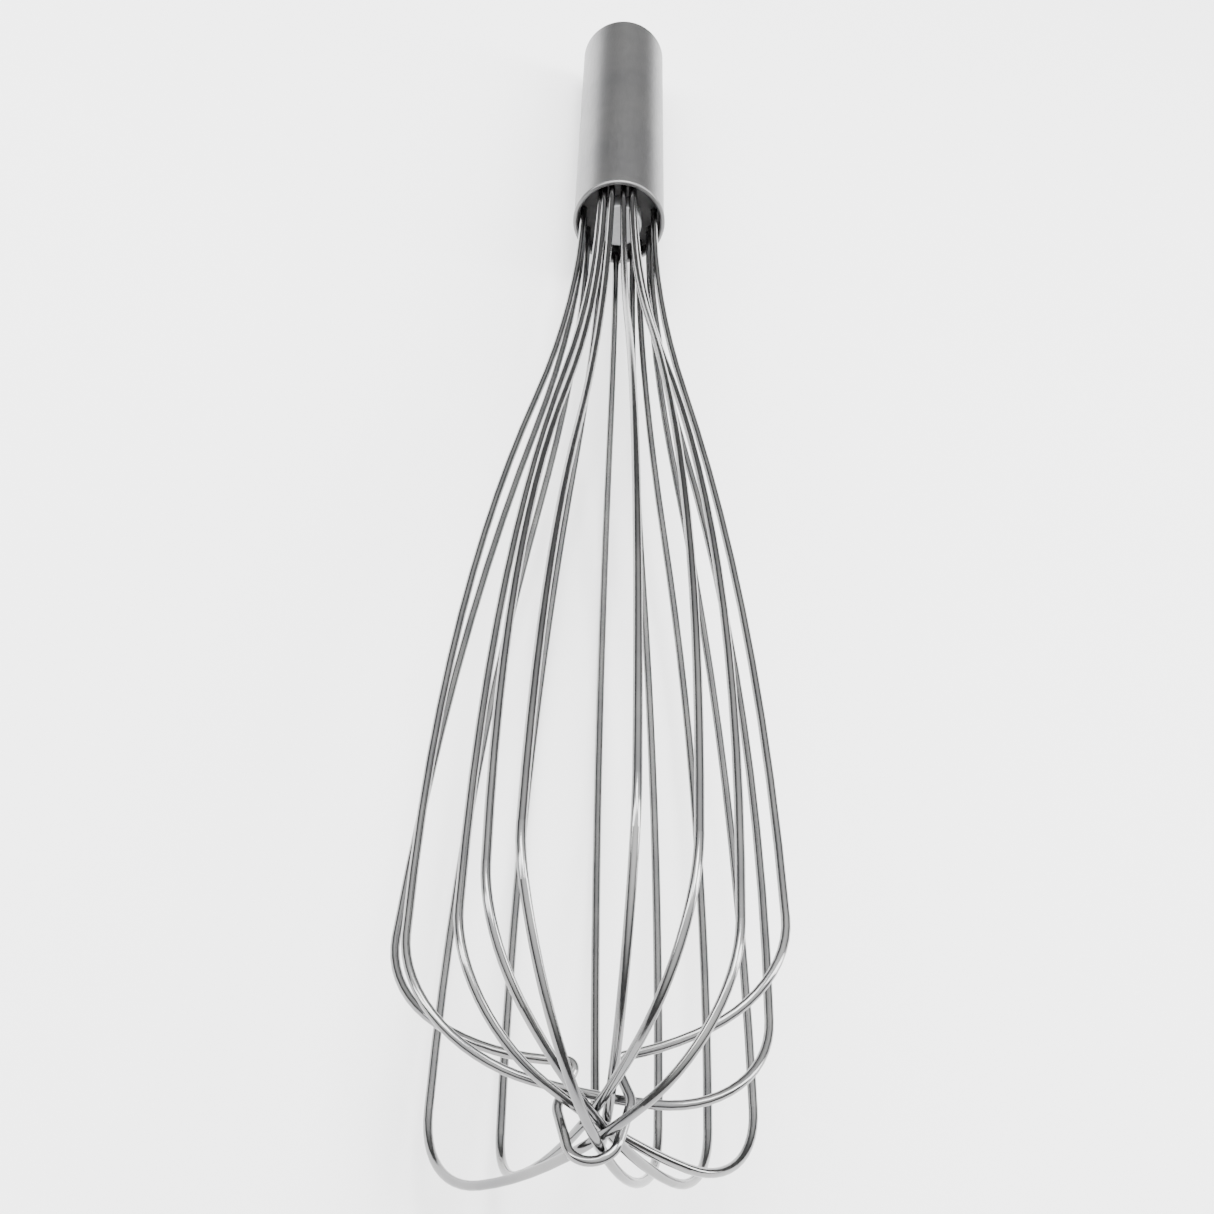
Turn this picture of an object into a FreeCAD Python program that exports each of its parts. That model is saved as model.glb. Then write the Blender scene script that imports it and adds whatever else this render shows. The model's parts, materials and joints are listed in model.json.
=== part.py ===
import FreeCAD, Part
import Sketcher
import math
import os

# Balloon whisk with a sealed stainless handle.
# Working axes of the assembly before it is laid on the floor:
#   +Y runs from the mouth of the handle to its closed end, -Y to the tip of the balloon,
#   X and Z span the cross-section.  The mouth plane is Y = 0.

V = FreeCAD.Vector
doc = FreeCAD.newDocument("balloon_whisk")

# ---------------------------------------------------------------- driving dimensions (mm, degrees)
DIMENSIONS = {
    # handle
    "tube_outer_radius": 14.5,
    "tube_wall": 1.2,
    "tube_length": 129.5,
    "lip_bead_radius": 0.8,
    "lip_overhang": 0.3,
    "cap_height": 6.5,
    "cap_edge_radius": 4.5,
    "cap_wall": 2.4,
    "cap_skirt_length": 5.0,
    "slip_gap": 0.05,
    # parts inside the mouth
    "plug_radius": 7.2,
    "plug_stand_out": 2.0,
    "plug_face_chamfer": 0.5,
    "stem_radius": 4.0,
    "stem_length": 32.0,
    "seal_recess": 5.0,
    "seal_depth": 7.0,
    "block_length": 36.0,
    "block_chamfer": 0.8,
    # wires
    "wire_radius": 1.0,
    "wire_hole_gap": 0.12,
    "wire_ring_radius": 11.4,
    "shank_depth": 44.0,
    # locking bend of the first loop: narrow neck, widest part and round bottom
    "lock_reach": 366.65,
    "lock_belly_reach": 353.8,
    "lock_belly_half": 7.0,
    "lock_ring_radius": 5.0,
    "lock_neck_half": 4.1,
    "lock_bend_radius": 2.2,
    # how the whisk lies: nose-up pitch and roll about its own axis
    "rest_pitch": 4.54,
    "rest_roll": -13.03,
}

# One entry per loop.  The wire on side a leaves the axis towards the angle, side b opposite to it.
#   angle               direction of side a about the whisk axis
#   half_width_a, _b    greatest distance of each side from the middle of the loop
#   reach               distance of the crown beyond the mouth
#   drift, sway         lean of the crown out of the loop's plane, and within it
#   offset              distance of the loop's plane from the whisk axis
#   flare, flank, shoulder_a, shoulder_b, crown     bend radii from the mouth to the tip
LOOPS = {
    1: {"angle": 9.5, "half_width_a": 38.5, "half_width_b": 44.0, "reach": 342.9,
        "drift": -1.0, "sway": -0.2, "offset": 0.4, "flare": 663.0, "flank": 1410.9,
        "shoulder_a": 30.0, "shoulder_b": 30.0, "crown": 47.6},
    2: {"angle": 164.1, "half_width_a": 36.9, "half_width_b": 39.4, "reach": 351.3,
        "drift": -0.1, "sway": 2.9, "offset": 1.1, "flare": 678.4, "flank": 1064.5,
        "shoulder_a": 29.9, "shoulder_b": 28.1, "crown": 110.0},
    3: {"angle": 136.1, "half_width_a": 39.4, "half_width_b": 44.1, "reach": 355.4,
        "drift": 4.9, "sway": -3.9, "offset": -2.8, "flare": 642.4, "flank": 1137.7,
        "shoulder_a": 28.3, "shoulder_b": 25.9, "crown": 110.0},
    4: {"angle": 120.5, "half_width_a": 45.0, "half_width_b": 45.0, "reach": 359.8,
        "drift": -0.7, "sway": 0.7, "offset": -1.1, "flare": 631.0, "flank": 725.4,
        "shoulder_a": 25.7, "shoulder_b": 26.3, "crown": 72.3},
    5: {"angle": 108.5, "half_width_a": 45.2, "half_width_b": 43.8, "reach": 364.4,
        "drift": 0.2, "sway": 5.8, "offset": -1.4, "flare": 815.1, "flank": 793.4,
        "shoulder_a": 21.3, "shoulder_b": 24.8, "crown": 49.6},
    6: {"angle": 85.6, "half_width_a": 53.0, "half_width_b": 38.9, "reach": 353.3,
        "drift": -2.7, "sway": -2.9, "offset": -0.1, "flare": 362.4, "flank": 570.1,
        "shoulder_a": 23.6, "shoulder_b": 28.0, "crown": 56.3},
    7: {"angle": 65.5, "half_width_a": 44.5, "half_width_b": 48.0, "reach": 357.6,
        "drift": 0.1, "sway": 3.1, "offset": 1.0, "flare": 435.6, "flank": 774.0,
        "shoulder_a": 33.1, "shoulder_b": 20.6, "crown": 74.6},
    8: {"angle": 46.9, "half_width_a": 39.7, "half_width_b": 51.0, "reach": 362.0,
        "drift": -4.7, "sway": 0.2, "offset": 4.1, "flare": 566.3, "flank": 840.3,
        "shoulder_a": 30.3, "shoulder_b": 30.1, "crown": 82.9},
}

sheet = doc.addObject("Spreadsheet::Sheet", "params")
sheet_row = 0


def add_parameter(name, value):
    """Write one named number into the next row of the sheet."""
    global sheet_row
    sheet_row += 1
    sheet.set("A%d" % sheet_row, name)
    sheet.set("B%d" % sheet_row, repr(float(value)))
    sheet.setAlias("B%d" % sheet_row, name)


for key, number in DIMENSIONS.items():
    add_parameter(key, number)
for loop_number, loop_sizes in LOOPS.items():
    for key, number in loop_sizes.items():
        add_parameter("loop_%d_%s" % (loop_number, key), number)
doc.recompute()


def par(name):
    """Value of a sheet parameter."""
    return float(getattr(sheet, name))


# ---------------------------------------------------------------- helpers
def new_body(label):
    body = doc.addObject("PartDesign::Body", label)
    body.Label = label
    return body


def origin_plane(body, role):
    for item in body.Origin.OriginFeatures:
        if item.Role == role:
            return item
    raise RuntimeError("no plane " + role)


def new_sketch(body, name, role, offset_expression=None):
    """Sketch on one of the body's own origin planes, optionally moved along its normal."""
    sketch = body.newObject("Sketcher::SketchObject", name)
    sketch.AttachmentSupport = [(origin_plane(body, role), "")]
    sketch.MapMode = "FlatFace"
    if offset_expression:
        sketch.setExpression("AttachmentOffset.Base.z", offset_expression)
    doc.recompute()
    return sketch


def bind(sketch, constraint_index, name, expression):
    sketch.renameConstraint(constraint_index, name)
    sketch.setExpression("Constraints." + name, expression)


def size_constraint(sketch, name, expression, kind, *references):
    """Dimension bound to the sheet; the drawn geometry already has the bound size."""
    index = sketch.addConstraint(Sketcher.Constraint(kind, *references))
    bind(sketch, index, name, expression)


def finish_body(body, feature):
    body.Tip = feature
    doc.recompute()


def point_at(centre, radius, angle):
    return V(centre.x + radius * math.cos(angle), centre.y + radius * math.sin(angle), 0)


def add_arc(sketch, centre, radius, start, end):
    """Arc running anticlockwise from one angle to the other."""
    return sketch.addGeometry(Part.ArcOfCircle(Part.Circle(centre, V(0, 0, 1), radius), start, end), False)


def add_line(sketch, start, end):
    return sketch.addGeometry(Part.LineSegment(start, end), False)


START, END, CENTRE = 1, 2, 3
ORIGIN, X_AXIS, Y_AXIS = (-1, 1), -1, -2


def join(sketch, first, first_end, second, second_end):
    sketch.addConstraint(Sketcher.Constraint("Coincident", first, first_end, second, second_end))


def join_smooth(sketch, first, first_end, second, second_end):
    sketch.addConstraint(Sketcher.Constraint("Tangent", first, first_end, second, second_end))


def place_x(sketch, name, geometry, position, expression, value):
    """Bind the distance of a point from the vertical axis; the sign of value is its side."""
    if value >= 0:
        references = ORIGIN + (geometry, position, value)
    else:
        references = (geometry, position) + ORIGIN + (-value,)
    size_constraint(sketch, name, expression, "DistanceX", *references)


def place_y(sketch, name, geometry, position, expression, value):
    """Bind the distance of a point from the horizontal axis; the sign of value is its side."""
    if value >= 0:
        references = ORIGIN + (geometry, position, value)
    else:
        references = (geometry, position) + ORIGIN + (-value,)
    size_constraint(sketch, name, expression, "DistanceY", *references)


def revolve(body, sketch, name):
    feature = body.newObject("PartDesign::Revolution", name)
    feature.Profile = sketch
    feature.ReferenceAxis = (sketch, ["V_Axis"])
    feature.Angle = 360.0
    finish_body(body, feature)
    return feature


def closed_profile(sketch, corners):
    """Closed outline of straight lines through corner points; returns the line indices."""
    lines = []
    count = len(corners)
    for i in range(count):
        start = V(corners[i][0], corners[i][1], 0)
        end = V(corners[(i + 1) % count][0], corners[(i + 1) % count][1], 0)
        lines.append(sketch.addGeometry(Part.LineSegment(start, end), False))
    for i in range(count):
        sketch.addConstraint(Sketcher.Constraint("Coincident", lines[i], 2, lines[(i + 1) % count], 1))
    return lines


def stepped_profile(sketch, corners, expressions):
    """Outline whose every corner is placed by two expressions (x and y)."""
    lines = closed_profile(sketch, corners)
    for i, (expression_x, expression_y) in enumerate(expressions):
        line = lines[i]
        if expression_x == "0":
            sketch.addConstraint(Sketcher.Constraint("PointOnObject", line, START, Y_AXIS))
        else:
            place_x(sketch, "x%d" % i, line, START, expression_x, corners[i][0])
        if expression_y == "0":
            sketch.addConstraint(Sketcher.Constraint("PointOnObject", line, START, X_AXIS))
        else:
            place_y(sketch, "y%d" % i, line, START, expression_y, corners[i][1])
    return lines


def add_chamfer(body, name, base, edges, expression):
    feature = body.newObject("PartDesign::Chamfer", name)
    feature.Base = (base, edges)
    feature.setExpression("Size", expression)
    finish_body(body, feature)
    return feature


def circle_edges_at(shape, y, radius):
    """Names of the full circular edges of a given radius centred on the axis at height y."""
    found = []
    for i, edge in enumerate(shape.Edges):
        curve = edge.Curve
        if curve.TypeId == "Part::GeomCircle" and abs(curve.Radius - radius) < 1e-3:
            on_axis = math.hypot(curve.Center.x, curve.Center.z) < 1e-3
            if on_axis and abs(curve.Center.y - y) < 1e-3:
                found.append("Edge%d" % (i + 1))
    return found


# ---------------------------------------------------------------- handle tube with rolled lip
tube = new_body("handle_tube")
tube_sketch = new_sketch(tube, "tube_wall_profile", "XY_Plane")
outer = par("tube_outer_radius")
inner = outer - par("tube_wall")
bead = par("lip_bead_radius")
stepped_profile(
    tube_sketch,
    [(inner, bead), (outer, bead), (outer, par("tube_length")), (inner, par("tube_length"))],
    [("params.tube_outer_radius - params.tube_wall", "params.lip_bead_radius"),
     ("params.tube_outer_radius", "params.lip_bead_radius"),
     ("params.tube_outer_radius", "params.tube_length"),
     ("params.tube_outer_radius - params.tube_wall", "params.tube_length")])
revolve(tube, tube_sketch, "tube_wall")
lip_sketch = new_sketch(tube, "lip_profile", "XY_Plane")
lip_centre = outer + par("lip_overhang") - bead
lip_circle = lip_sketch.addGeometry(
    Part.Circle(V(lip_centre, bead, 0), V(0, 0, 1), bead), False)
size_constraint(lip_sketch, "bead", "params.lip_bead_radius", "Radius", lip_circle, bead)
size_constraint(lip_sketch, "centre_x",
                "params.tube_outer_radius + params.lip_overhang - params.lip_bead_radius",
                "DistanceX", -1, 1, lip_circle, 3, lip_centre)
size_constraint(lip_sketch, "centre_y", "params.lip_bead_radius", "DistanceY", -1, 1, lip_circle, 3, bead)
revolve(tube, lip_sketch, "rolled_lip")

# ---------------------------------------------------------------- domed end cap
cap = new_body("handle_end_cap")
cap_sketch = new_sketch(cap, "cap_profile", "XY_Plane")
cap_base = par("tube_length")
cap_top = cap_base + par("cap_height")
cap_edge = par("cap_edge_radius")
cap_wall = par("cap_wall")
edge_offset = outer - cap_edge
edge_centre = V(edge_offset, cap_base, 0)
# The crown is a large arc centred on the axis and tangent to the rounded edge.
crown_rise = par("cap_height")
crown_arc_radius = (edge_offset ** 2 + crown_rise ** 2 - cap_edge ** 2) / (2.0 * (crown_rise - cap_edge))
crown_centre = V(0, cap_top - crown_arc_radius, 0)
meet_angle = math.atan2(edge_centre.y - crown_centre.y, edge_centre.x)
skirt_outer = outer - par("tube_wall") - par("slip_gap")
skirt_inner = outer - cap_wall
skirt_end = cap_base - par("cap_skirt_length")


def add_cap_skin(sketch, label, offset, offset_expression):
    """Rounded edge and crown of one face of the cap, set in by the offset; returns both arcs."""
    edge = add_arc(sketch, edge_centre, cap_edge - offset, 0, meet_angle)
    crown = add_arc(sketch, crown_centre, crown_arc_radius - offset, meet_angle, math.pi / 2)
    join_smooth(sketch, edge, END, crown, START)
    size_constraint(sketch, label + "_edge", "params.cap_edge_radius" + offset_expression,
                    "Radius", edge, cap_edge - offset)
    place_x(sketch, label + "_edge_x", edge, CENTRE,
            "params.tube_outer_radius - params.cap_edge_radius", edge_offset)
    place_y(sketch, label + "_edge_y", edge, CENTRE, "params.tube_length", cap_base)
    place_y(sketch, label + "_base_y", edge, START, "params.tube_length", cap_base)
    sketch.addConstraint(Sketcher.Constraint("PointOnObject", crown, CENTRE, Y_AXIS))
    sketch.addConstraint(Sketcher.Constraint("PointOnObject", crown, END, Y_AXIS))
    place_y(sketch, label + "_top_y", crown, END,
            "params.tube_length + params.cap_height" + offset_expression, cap_top - offset)
    return edge, crown


outer_edge, outer_crown = add_cap_skin(cap_sketch, "outside", 0.0, "")
inner_edge, inner_crown = add_cap_skin(cap_sketch, "inside", cap_wall, " - params.cap_wall")
skirt_points = [V(outer, cap_base, 0), V(skirt_outer, cap_base, 0), V(skirt_outer, skirt_end, 0),
                V(skirt_inner, skirt_end, 0), V(skirt_inner, cap_base, 0)]
skirt_lines = [add_line(cap_sketch, a, b) for a, b in zip(skirt_points, skirt_points[1:])]
axis_line = add_line(cap_sketch, V(0, cap_top - cap_wall, 0), V(0, cap_top, 0))
join(cap_sketch, outer_edge, START, skirt_lines[0], START)
for first, second in zip(skirt_lines, skirt_lines[1:]):
    join(cap_sketch, first, END, second, START)
join(cap_sketch, skirt_lines[-1], END, inner_edge, START)
join(cap_sketch, inner_crown, END, axis_line, START)
join(cap_sketch, axis_line, END, outer_crown, END)
for index, direction in enumerate(["Horizontal", "Vertical", "Horizontal", "Vertical"]):
    cap_sketch.addConstraint(Sketcher.Constraint(direction, skirt_lines[index]))
place_x(cap_sketch, "skirt_outside", skirt_lines[1], END,
        "params.tube_outer_radius - params.tube_wall - params.slip_gap", skirt_outer)
place_y(cap_sketch, "skirt_end", skirt_lines[1], END,
        "params.tube_length - params.cap_skirt_length", skirt_end)
revolve(cap, cap_sketch, "cap_shell")

# ---------------------------------------------------------------- centre plug: nose in the mouth, stem in the block
plug = new_body("centre_plug")
plug_sketch = new_sketch(plug, "plug_profile", "XY_Plane")
nose = par("plug_radius")
plug_face = -par("plug_stand_out")
seal_back = par("seal_recess") + par("seal_depth")
stem = par("stem_radius")
stem_end = seal_back + par("stem_length")
seal_back_text = "params.seal_recess + params.seal_depth"
stepped_profile(
    plug_sketch,
    [(0, plug_face), (nose, plug_face), (nose, seal_back), (stem, seal_back), (stem, stem_end), (0, stem_end)],
    [("0", "params.plug_stand_out"), ("params.plug_radius", "params.plug_stand_out"),
     ("params.plug_radius", seal_back_text), ("params.stem_radius", seal_back_text),
     ("params.stem_radius", seal_back_text + " + params.stem_length"),
     ("0", seal_back_text + " + params.stem_length")])
plug_solid = revolve(plug, plug_sketch, "plug_solid")
plug_edges = circle_edges_at(plug_solid.Shape, plug_face, nose)
add_chamfer(plug, "face_chamfer", plug_solid, plug_edges, "params.plug_face_chamfer")


# ---------------------------------------------------------------- filling and block with a hole for every shank
block_middle = V(0, seal_back + par("block_length") / 2.0, 0)


def shank_half(number):
    """Half the distance between the two shanks of a loop, whose plane may miss the axis a little."""
    return math.sqrt(par("wire_ring_radius") ** 2 - par("loop_%d_offset" % number) ** 2)


def shank_half_text(number):
    return "sqrt(params.wire_ring_radius ^ 2 - params.loop_%d_offset ^ 2)" % number


def loop_placement(number):
    """Place of a loop about the handle: turned about the axis, then leaned and swayed at the block.

    A loop's own sketch plane is XY, with its shanks along Y on both sides of the axis.
    """
    span = par("loop_%d_reach" % number) + block_middle.y
    turn = FreeCAD.Rotation(V(0, 1, 0), -par("loop_%d_angle" % number))
    lean = FreeCAD.Rotation(V(1, 0, 0), -math.degrees(par("loop_%d_drift" % number) / span))
    sway = FreeCAD.Rotation(V(0, 0, 1), math.degrees(par("loop_%d_sway" % number) / span))
    aside = FreeCAD.Placement(V(0, 0, par("loop_%d_offset" % number)), FreeCAD.Rotation())
    return (FreeCAD.Placement(V(0, 0, 0), turn) * aside
            * FreeCAD.Placement(V(0, 0, 0), lean * sway, block_middle))


def add_shank_holes(body):
    """Cut a pair of round holes along the shanks of every loop, with a little clearance."""
    cross_plane = FreeCAD.Placement(V(0, 0, 0), FreeCAD.Rotation(V(1, 0, 0), 90))
    hole = par("wire_radius") + par("wire_hole_gap")
    for number in LOOPS:
        sketch = new_sketch(body, "shank_holes_%d" % number, "XZ_Plane")
        sketch.AttachmentOffset = cross_plane.inverse() * loop_placement(number) * cross_plane
        for letter, side in (("a", 1), ("b", -1)):
            x = side * shank_half(number)
            circle = sketch.addGeometry(Part.Circle(V(x, 0, 0), V(0, 0, 1), hole), False)
            size_constraint(sketch, "hole_" + letter, "params.wire_radius + params.wire_hole_gap",
                            "Radius", circle, hole)
            place_x(sketch, "hole_x_" + letter, circle, CENTRE, shank_half_text(number), x)
            sketch.addConstraint(Sketcher.Constraint("PointOnObject", circle, CENTRE, X_AXIS))
        doc.recompute()
        pocket = body.newObject("PartDesign::Pocket", "shank_hole_cut_%d" % number)
        pocket.Profile = sketch
        pocket.Type = "ThroughAll"
        pocket.Midplane = True
        finish_body(body, pocket)


seal = new_body("sealing_compound")
seal_sketch = new_sketch(seal, "seal_profile", "XY_Plane")
seal_front = par("seal_recess")
seal_outer = inner - par("slip_gap")
seal_inner = nose + par("slip_gap")
stepped_profile(
    seal_sketch,
    [(seal_inner, seal_front), (seal_outer, seal_front), (seal_outer, seal_back), (seal_inner, seal_back)],
    [("params.plug_radius + params.slip_gap", "params.seal_recess"),
     ("params.tube_outer_radius - params.tube_wall - params.slip_gap", "params.seal_recess"),
     ("params.tube_outer_radius - params.tube_wall - params.slip_gap", seal_back_text),
     ("params.plug_radius + params.slip_gap", seal_back_text)])
revolve(seal, seal_sketch, "seal_ring")
add_shank_holes(seal)

block = new_body("wire_anchor_block")
block_sketch = new_sketch(block, "block_profile", "XY_Plane")
block_end = seal_back + par("block_length")
block_inner = stem + par("slip_gap")
block_end_text = seal_back_text + " + params.block_length"
stepped_profile(
    block_sketch,
    [(block_inner, seal_back), (seal_outer, seal_back), (seal_outer, block_end), (block_inner, block_end)],
    [("params.stem_radius + params.slip_gap", seal_back_text),
     ("params.tube_outer_radius - params.tube_wall - params.slip_gap", seal_back_text),
     ("params.tube_outer_radius - params.tube_wall - params.slip_gap", block_end_text),
     ("params.stem_radius + params.slip_gap", block_end_text)])
block_solid = revolve(block, block_sketch, "block_solid")
block_edges = circle_edges_at(block_solid.Shape, block_end, seal_outer)
add_chamfer(block, "end_chamfer", block_solid, block_edges, "params.block_chamfer")
add_shank_holes(block)


# ---------------------------------------------------------------- wire loops
class HalfLoop:
    """Tangent arcs of one side of a loop, from the mouth to its crown, in the loop's own plane.

    The wire leaves the mouth parallel to the axis, flares outwards, bellies along the flank,
    turns in at the shoulder and meets the crown arc, whose centre lies on the axis.
    """

    def __init__(self, number, letter):
        reach, flare, flank, crown = [
            par("loop_%d_%s" % (number, key)) for key in ("reach", "flare", "flank", "crown")]
        half_width, shoulder = [
            par("loop_%d_%s_%s" % (number, key, letter)) for key in ("half_width", "shoulder")]
        start = shank_half(number)
        self.flare_angle = math.acos(1.0 - (half_width - start) / (flare + flank))
        self.flank_centre = V(half_width - flank, -(flare + flank) * math.sin(self.flare_angle), 0)
        self.crown_centre = V(0, crown - reach, 0)
        # The shoulder's centre is a known distance from the centres of both its neighbours.
        gap = self.crown_centre - self.flank_centre
        distance = gap.Length
        along = ((flank - shoulder) ** 2 - (crown - shoulder) ** 2 + distance ** 2) / (2.0 * distance)
        across = math.sqrt((flank - shoulder) ** 2 - along ** 2)
        direction = gap * (1.0 / distance)
        normal = V(-direction.y, direction.x, 0)
        choices = [self.flank_centre + direction * along + normal * (across * sign) for sign in (1, -1)]
        self.shoulder_centre = min(choices, key=lambda centre: centre.y)
        to_shoulder = self.shoulder_centre - self.flank_centre
        to_crown = self.shoulder_centre - self.crown_centre
        self.shoulder_angle = math.atan2(to_shoulder.y, to_shoulder.x)
        self.crown_angle = math.atan2(to_crown.y, to_crown.x)


def mirrored(centre, side):
    return V(side * centre.x, centre.y, 0)


def side_arc(sketch, centre, radius, start, end, side):
    """Arc of the right-hand side, or its mirror image; returns it with its end labels swapped to match."""
    if side > 0:
        return add_arc(sketch, centre, radius, start, end), START, END
    return add_arc(sketch, mirrored(centre, side), radius, math.pi - end, math.pi - start), END, START


def draw_side(sketch, number, letter, side):
    """Shank, flare, flank and shoulder of one side; returns the half loop and the shoulder's free end."""
    start = shank_half(number)
    depth = par("shank_depth")
    width_name = "params.loop_%d_half_width_%s" % (number, letter)
    half = HalfLoop(number, letter)
    size_names = {"flare": "loop_%d_flare" % number, "flank": "loop_%d_flank" % number,
                  "shoulder": "loop_%d_shoulder_%s" % (number, letter)}
    radii = {name: par(alias) for name, alias in size_names.items()}
    shank = add_line(sketch, V(side * start, depth, 0), V(side * start, 0, 0))
    flare_centre = V(start + radii["flare"], 0, 0)
    flare, flare_low, flare_high = side_arc(
        sketch, flare_centre, radii["flare"], math.pi, math.pi + half.flare_angle, side)
    flank, flank_low, flank_high = side_arc(
        sketch, half.flank_centre, radii["flank"], half.shoulder_angle, half.flare_angle, side)
    shoulder, shoulder_low, shoulder_high = side_arc(
        sketch, half.shoulder_centre, radii["shoulder"], half.crown_angle, half.shoulder_angle, side)
    sketch.addConstraint(Sketcher.Constraint("Vertical", shank))
    place_x(sketch, "shank_x_" + letter, shank, START, shank_half_text(number), side * start)
    place_y(sketch, "shank_depth_" + letter, shank, START, "params.shank_depth", depth)
    sketch.addConstraint(Sketcher.Constraint("PointOnObject", shank, END, X_AXIS))
    join_smooth(sketch, shank, END, flare, flare_low)
    join_smooth(sketch, flare, flare_high, flank, flank_high)
    join_smooth(sketch, flank, flank_low, shoulder, shoulder_high)
    for name, item in (("flare", flare), ("flank", flank), ("shoulder", shoulder)):
        size_constraint(sketch, "%s_%s" % (name, letter), "params." + size_names[name],
                        "Radius", item, radii[name])
    place_x(sketch, "belly_" + letter, flank, CENTRE,
            "params.loop_%d_flank - %s" % (number, width_name), side * half.flank_centre.x)
    return half, shoulder, shoulder_low


def bind_crown(sketch, item, number, name, half):
    crown_name = "loop_%d_crown" % number
    size_constraint(sketch, name + "_radius", "params." + crown_name, "Radius", item, par(crown_name))
    sketch.addConstraint(Sketcher.Constraint("PointOnObject", item, CENTRE, Y_AXIS))
    place_y(sketch, name + "_reach", item, CENTRE,
            "params.loop_%d_reach - params.%s" % (number, crown_name), half.crown_centre.y)


def draw_plain_crown(sketch, number, sides):
    """One arc over the tip, from shoulder to shoulder."""
    half_a, shoulder_a, end_a = sides["a"]
    half_b, shoulder_b, end_b = sides["b"]
    crown = add_arc(sketch, half_a.crown_centre, par("loop_%d_crown" % number),
                    -math.pi - half_b.crown_angle, half_a.crown_angle)
    join_smooth(sketch, crown, END, shoulder_a, end_a)
    join_smooth(sketch, crown, START, shoulder_b, end_b)
    bind_crown(sketch, crown, number, "crown", half_a)


def draw_locking_crown(sketch, number, sides):
    """The wire comes in from both shoulders, turns outwards and closes a ring round the other crowns.

    Each side has a tight bend at the neck, a straight leg, the belly, a straight leg, and shares
    the round bottom.
    """
    crown_radius = par("loop_%d_crown" % number)
    bend = par("lock_bend_radius")
    ring = par("lock_ring_radius")
    crown_centre = sides["a"][0].crown_centre
    bend_x = par("lock_neck_half") + bend
    bend_centre = V(bend_x, crown_centre.y - math.sqrt((crown_radius + bend) ** 2 - bend_x ** 2), 0)
    contact = math.acos(bend_x / (crown_radius + bend))
    belly_centre = V(par("lock_belly_half") - ring, -par("lock_belly_reach"), 0)
    bottom_centre = V(0, ring - par("lock_reach"), 0)
    # The leg from bend to belly crosses between the two circles.
    fall = bend_centre - belly_centre
    splay = math.atan2(fall.y, fall.x) - math.acos((ring + bend) / fall.Length)
    # The leg from belly to bottom runs parallel to the line of their centres.
    slope = belly_centre - bottom_centre
    taper = math.atan2(slope.y, slope.x) - math.pi / 2.0
    bottom = add_arc(sketch, bottom_centre, ring, math.pi - taper, 2.0 * math.pi + taper)
    size_constraint(sketch, "bottom_radius", "params.lock_ring_radius", "Radius", bottom, ring)
    sketch.addConstraint(Sketcher.Constraint("PointOnObject", bottom, CENTRE, Y_AXIS))
    place_y(sketch, "bottom_reach", bottom, CENTRE,
            "params.lock_reach - params.lock_ring_radius", bottom_centre.y)
    for letter, side, bottom_end in (("a", 1, END), ("b", -1, START)):
        half, shoulder, shoulder_end = sides[letter]
        crown, crown_low, crown_high = side_arc(
            sketch, crown_centre, crown_radius, -contact, half.crown_angle, side)
        turn, turn_low, turn_high = side_arc(
            sketch, bend_centre, bend, math.pi - contact, math.pi + splay, side)
        belly, belly_low, belly_high = side_arc(sketch, belly_centre, ring, taper, splay, side)
        upper_leg = add_line(sketch, mirrored(point_at(bend_centre, bend, math.pi + splay), side),
                             mirrored(point_at(belly_centre, ring, splay), side))
        lower_leg = add_line(sketch, mirrored(point_at(belly_centre, ring, taper), side),
                             mirrored(point_at(bottom_centre, ring, taper), side))
        join_smooth(sketch, crown, crown_high, shoulder, shoulder_end)
        join_smooth(sketch, crown, crown_low, turn, turn_low)
        join_smooth(sketch, turn, turn_high, upper_leg, START)
        join_smooth(sketch, upper_leg, END, belly, belly_high)
        join_smooth(sketch, belly, belly_low, lower_leg, START)
        join_smooth(sketch, lower_leg, END, bottom, bottom_end)
        bind_crown(sketch, crown, number, "crown_" + letter, half)
        size_constraint(sketch, "bend_" + letter, "params.lock_bend_radius", "Radius", turn, bend)
        place_x(sketch, "neck_" + letter, turn, CENTRE,
                "params.lock_neck_half + params.lock_bend_radius", side * bend_x)
        size_constraint(sketch, "belly_radius_" + letter, "params.lock_ring_radius", "Radius", belly, ring)
        place_x(sketch, "belly_x_" + letter, belly, CENTRE,
                "params.lock_belly_half - params.lock_ring_radius", side * belly_centre.x)
        place_y(sketch, "belly_y_" + letter, belly, CENTRE, "params.lock_belly_reach", belly_centre.y)


LOCKING_LOOP = 1
loop_bodies = {}
for number in LOOPS:
    body = new_body("wire_loop_%d" % number)
    path = new_sketch(body, "wire_path_%d" % number, "XY_Plane")
    sides = {"a": draw_side(path, number, "a", 1), "b": draw_side(path, number, "b", -1)}
    if number == LOCKING_LOOP:
        draw_locking_crown(path, number, sides)
    else:
        draw_plain_crown(path, number, sides)
    section = new_sketch(body, "wire_section_%d" % number, "XZ_Plane", "-params.shank_depth")
    wire_circle = section.addGeometry(
        Part.Circle(V(shank_half(number), 0, 0), V(0, 0, 1), par("wire_radius")), False)
    size_constraint(section, "wire", "params.wire_radius", "Radius", wire_circle, par("wire_radius"))
    place_x(section, "wire_x", wire_circle, CENTRE, shank_half_text(number), shank_half(number))
    section.addConstraint(Sketcher.Constraint("PointOnObject", wire_circle, CENTRE, X_AXIS))
    doc.recompute()
    pipe = body.newObject("PartDesign::AdditivePipe", "bent_wire_%d" % number)
    pipe.Profile = section
    pipe.Spine = (path, [])
    finish_body(body, pipe)
    loop_bodies[number] = body

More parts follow.
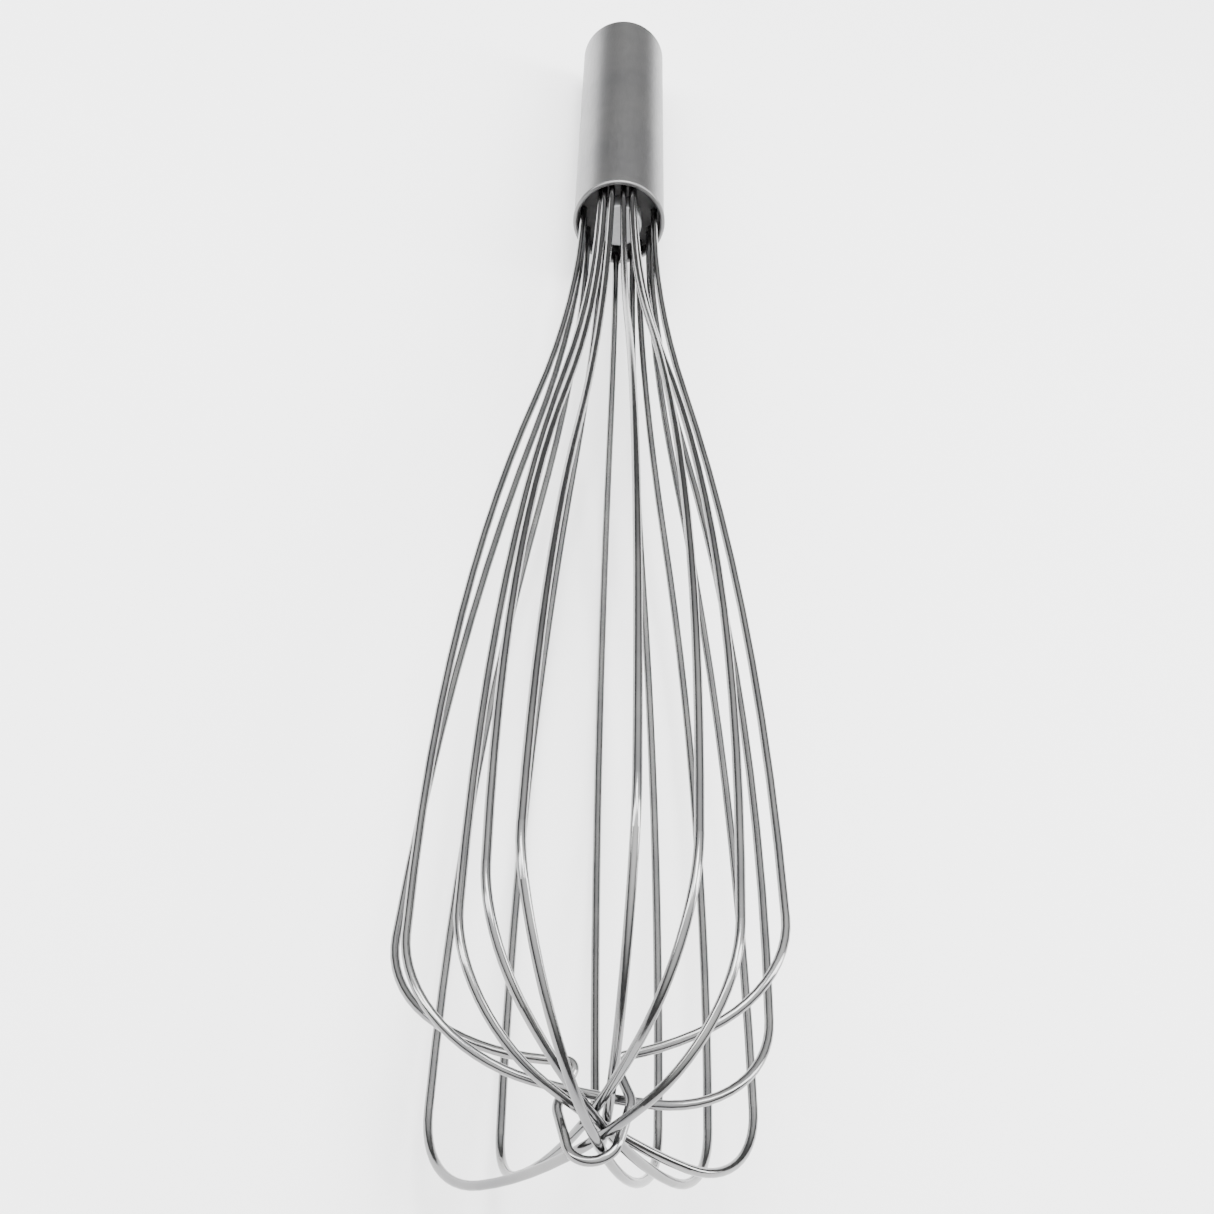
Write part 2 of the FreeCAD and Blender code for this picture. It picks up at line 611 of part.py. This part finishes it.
# ---------------------------------------------------------------- every piece in its place, lying on the floor
rest = (FreeCAD.Rotation(V(1, 0, 0), -par("rest_pitch"))
        * FreeCAD.Rotation(V(0, 1, 0), par("rest_roll")))
pieces = {body.Label: body for body in [tube, cap, plug, seal, block]}
for body in pieces.values():
    body.Placement = FreeCAD.Placement(V(0, 0, 0), rest)
for number, body in loop_bodies.items():
    body.Placement = FreeCAD.Placement(V(0, 0, 0), rest) * loop_placement(number)
    pieces[body.Label] = body
doc.recompute()

box = FreeCAD.BoundBox()
for body in pieces.values():
    box.add(body.Shape.optimalBoundingBox(False))
# The origin is the middle of the footprint, on the floor.
lift = V(-(box.XMin + box.XMax) / 2.0, -(box.YMin + box.YMax) / 2.0, -box.ZMin)
for body in pieces.values():
    body.Placement = FreeCAD.Placement(lift, FreeCAD.Rotation()) * body.Placement
doc.recompute()

# ---------------------------------------------------------------- checks and files
for item in doc.Objects:
    if "Invalid" in item.State or "Error" in item.State:
        raise RuntimeError("%s is in state %s" % (item.Name, item.State))
os.makedirs("parts", exist_ok=True)
for label, body in pieces.items():
    shape = body.Shape
    if shape.isNull() or not shape.isValid() or len(shape.Solids) != 1:
        raise RuntimeError("bad shape: " + label)
    shape.exportStep("parts/%s.step" % label)
    print("%-20s volume %10.1f  z %.3f" % (label, shape.Volume, shape.BoundBox.ZMin))
print("mouth centre", lift, "axis", rest.multVec(V(0, 1, 0)))
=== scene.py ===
import json
import math

import bpy
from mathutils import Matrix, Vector

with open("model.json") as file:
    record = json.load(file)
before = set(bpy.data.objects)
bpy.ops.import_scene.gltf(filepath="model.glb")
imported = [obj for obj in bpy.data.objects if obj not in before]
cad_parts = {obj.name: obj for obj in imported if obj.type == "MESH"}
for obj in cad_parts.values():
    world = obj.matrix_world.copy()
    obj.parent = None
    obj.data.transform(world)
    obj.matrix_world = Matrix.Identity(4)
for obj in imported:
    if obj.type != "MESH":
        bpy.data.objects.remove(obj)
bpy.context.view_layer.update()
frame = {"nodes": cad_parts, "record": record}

# ---------------------------------------------------------------- materials


def new_material(name, metallic=0.0):
    """Empty node material with its output and one Principled shader."""
    material = bpy.data.materials.new(name)
    material.use_nodes = True
    tree = material.node_tree
    tree.nodes.clear()
    output = tree.nodes.new("ShaderNodeOutputMaterial")
    shader = tree.nodes.new("ShaderNodeBsdfPrincipled")
    shader.inputs["Metallic"].default_value = metallic
    tree.links.new(shader.outputs["BSDF"], output.inputs["Surface"])
    return material, tree, shader


def object_coordinates(tree, scale=(1.0, 1.0, 1.0)):
    """Object-space coordinates, stretched by the given scale."""
    coordinates = tree.nodes.new("ShaderNodeTexCoord")
    mapping = tree.nodes.new("ShaderNodeMapping")
    mapping.inputs["Scale"].default_value = scale
    tree.links.new(coordinates.outputs["Object"], mapping.inputs["Vector"])
    return mapping.outputs["Vector"]


def noise(tree, vector, scale, detail, roughness):
    """Fractal noise between 0 and 1."""
    node = tree.nodes.new("ShaderNodeTexNoise")
    node.inputs["Scale"].default_value = scale
    node.inputs["Detail"].default_value = detail
    node.inputs["Roughness"].default_value = roughness
    tree.links.new(vector, node.inputs["Vector"])
    return node.outputs["Fac"]


def ramp(tree, value, stops):
    """Colour ramp through (position, grey or colour) stops."""
    node = tree.nodes.new("ShaderNodeValToRGB")
    elements = node.color_ramp.elements
    while len(elements) < len(stops):
        elements.new(0.5)
    for element, (position, colour) in zip(elements, stops):
        element.position = position
        if not isinstance(colour, tuple):
            colour = (colour, colour, colour)
        element.color = colour + (1.0,)
    tree.links.new(value, node.inputs["Fac"])
    return node.outputs["Color"]


def set_tint(tree, shader, value, dark, light):
    """Base colour that goes from dark to light with a noise value."""
    tint = ramp(tree, value, [(0.30, dark), (0.70, light)])
    tree.links.new(tint, shader.inputs["Base Color"])


def set_roughness(tree, shader, value, low, high):
    """Roughness that goes from low to high with a noise value."""
    gloss = ramp(tree, value, [(0.25, low), (0.75, high)])
    tree.links.new(gloss, shader.inputs["Roughness"])


def add_bump(tree, shader, height, strength, distance):
    """Relief of the given depth in metres."""
    node = tree.nodes.new("ShaderNodeBump")
    node.inputs["Strength"].default_value = strength
    node.inputs["Distance"].default_value = distance
    tree.links.new(height, node.inputs["Height"])
    tree.links.new(node.outputs["Normal"], shader.inputs["Normal"])


def satin_tube_steel():
    """Stainless tube with a fine grain along its length and faint blotches."""
    material, tree, shader = new_material("satin_tube_steel", metallic=1.0)
    along_tube = object_coordinates(tree, scale=(1.0, 0.02, 1.0))
    grain = noise(tree, along_tube, scale=2600.0, detail=6.0, roughness=0.6)
    patches = noise(tree, object_coordinates(tree), scale=38.0, detail=4.0, roughness=0.55)
    set_tint(tree, shader, patches, dark=(0.130, 0.130, 0.133), light=(0.168, 0.167, 0.165))
    set_roughness(tree, shader, grain, low=0.30, high=0.42)
    add_bump(tree, shader, grain, strength=0.10, distance=0.00004)
    return material


def bright_wire_steel():
    """Drawn spring wire: bright, with faint streaks along it and slightly uneven polish."""
    material, tree, shader = new_material("bright_wire_steel", metallic=1.0)
    along_wire = object_coordinates(tree, scale=(1.0, 0.05, 1.0))
    streaks = noise(tree, along_wire, scale=1500.0, detail=5.0, roughness=0.55)
    patches = noise(tree, object_coordinates(tree), scale=60.0, detail=3.0, roughness=0.5)
    set_tint(tree, shader, patches, dark=(0.15, 0.15, 0.153), light=(0.21, 0.209, 0.206))
    set_roughness(tree, shader, streaks, low=0.11, high=0.20)
    add_bump(tree, shader, streaks, strength=0.08, distance=0.00003)
    return material


def dull_plug_metal():
    """Flat grey face of the plug, faintly speckled."""
    material, tree, shader = new_material("dull_plug_metal", metallic=0.85)
    speckle = noise(tree, object_coordinates(tree), scale=900.0, detail=5.0, roughness=0.6)
    set_tint(tree, shader, speckle, dark=(0.30, 0.305, 0.31), light=(0.38, 0.382, 0.385))
    set_roughness(tree, shader, speckle, low=0.42, high=0.58)
    add_bump(tree, shader, speckle, strength=0.15, distance=0.00005)
    return material


def seal_fill_painted_shade():
    """Filling poured between the wires, tinted near-black as painted shade of the recessed gap
    there, with a slightly uneven skin.
    """
    material, tree, shader = new_material("seal_fill_painted_shade")
    lumps = noise(tree, object_coordinates(tree), scale=500.0, detail=4.0, roughness=0.55)
    # The near-black tint is painted shade: it stands in for the darkness of the recess where
    # the wires leave the handle.
    set_tint(tree, shader, lumps, dark=(0.020, 0.020, 0.021), light=(0.045, 0.044, 0.043))
    set_roughness(tree, shader, lumps, low=0.45, high=0.65)
    add_bump(tree, shader, lumps, strength=0.25, distance=0.0002)
    return material


def turned_block_metal():
    """Turned face of the hidden block."""
    material, tree, shader = new_material("turned_block_metal", metallic=1.0)
    across_block = object_coordinates(tree, scale=(1.0, 4.0, 1.0))
    rings = noise(tree, across_block, scale=700.0, detail=3.0, roughness=0.5)
    set_tint(tree, shader, rings, dark=(0.42, 0.42, 0.43), light=(0.52, 0.52, 0.53))
    set_roughness(tree, shader, rings, low=0.30, high=0.45)
    add_bump(tree, shader, rings, strength=0.10, distance=0.00005)
    return material


MATERIAL_MAKERS = {
    "satin_tube": satin_tube_steel,
    "wire_steel": bright_wire_steel,
    "plug_metal": dull_plug_metal,
    "seal_resin": seal_fill_painted_shade,
    "block_metal": turned_block_metal,
}

materials = {name: make() for name, make in MATERIAL_MAKERS.items()}
for subpart in frame["record"]["subparts"]:
    node = frame["nodes"][subpart["node"]]
    node.data.materials.clear()
    node.data.materials.append(materials[subpart["material_slot"]])

# ---------------------------------------------------------------- floor
FLOOR_SIZE = 12.0
# The floor lies just under the whisk, so that their surfaces don't flicker together.
FLOOR_HEIGHT = -0.0005
FLOOR_ROUGHNESS = 0.75


def pale_floor():
    """Off-white paper with a very faint, broad mottling."""
    material, tree, shader = new_material("pale_floor")
    mottling = noise(tree, object_coordinates(tree), scale=3.0, detail=3.0, roughness=0.5)
    set_tint(tree, shader, mottling, dark=(0.90, 0.90, 0.905), light=(0.92, 0.92, 0.922))
    shader.inputs["Roughness"].default_value = FLOOR_ROUGHNESS
    return material


bpy.ops.mesh.primitive_plane_add(size=FLOOR_SIZE, location=(0.0, 0.0, FLOOR_HEIGHT))
floor = bpy.context.active_object
floor.name = "floor"
floor.data.materials.append(pale_floor())

# ---------------------------------------------------------------- light
# Sine of the elevation, and the grey of the surroundings there.
WORLD_STOPS = [(0.02, 0.05), (0.30, 0.09), (0.55, 0.55), (0.85, 1.0)]
WORLD_STRENGTH = 3.6

WHISK_MIDDLE = (0.0, 0.0, 0.04)
SIDE_BOX_SIZE = (0.30, 1.3)
TOP_BOX_SIZE = (0.5, 0.9)


def studio_world():
    """Bright ceiling over a dark surround, so that polished wire shows dark and light bands."""
    sky = bpy.data.worlds.new("studio")
    sky.use_nodes = True
    tree = sky.node_tree
    background = tree.nodes["Background"]
    direction = tree.nodes.new("ShaderNodeTexCoord")
    parts = tree.nodes.new("ShaderNodeSeparateXYZ")
    tree.links.new(direction.outputs["Generated"], parts.inputs["Vector"])
    brightness = ramp(tree, parts.outputs["Z"], WORLD_STOPS)
    tree.links.new(brightness, background.inputs["Color"])
    background.inputs["Strength"].default_value = WORLD_STRENGTH
    return sky


def softbox(name, location, size, power):
    """Rectangular soft light, power in watts, aimed at the middle of the whisk."""
    light = bpy.data.lights.new(name, "AREA")
    light.shape = "RECTANGLE"
    light.size, light.size_y = size
    light.energy = power
    lamp = bpy.data.objects.new(name, light)
    lamp.location = location
    aim = Vector(WHISK_MIDDLE) - Vector(location)
    lamp.rotation_euler = aim.to_track_quat("-Z", "Y").to_euler()
    bpy.context.scene.collection.objects.link(lamp)


bpy.context.scene.world = studio_world()
softbox("key_left", location=(-0.9, -0.1, 0.9), size=SIDE_BOX_SIZE, power=18.0)
softbox("fill_right", location=(1.0, 0.1, 0.7), size=SIDE_BOX_SIZE, power=24.0)
softbox("overhead", location=(-0.15, 0.2, 1.4), size=TOP_BOX_SIZE, power=30.0)

# ---------------------------------------------------------------- camera
SENSOR_WIDTH_MM = 36.0
LENS_MM = 61.95
CAMERA_PLACE = (-0.07143, -0.46540, 0.37794)
CAMERA_TURN_DEGREES = (47.281, -14.194, 2.189)

camera_data = bpy.data.cameras.new("camera")
camera_data.sensor_width = SENSOR_WIDTH_MM
camera_data.lens = LENS_MM
camera = bpy.data.objects.new("camera", camera_data)
camera.location = CAMERA_PLACE
camera.rotation_euler = [math.radians(angle) for angle in CAMERA_TURN_DEGREES]
bpy.context.scene.collection.objects.link(camera)
bpy.context.scene.camera = camera
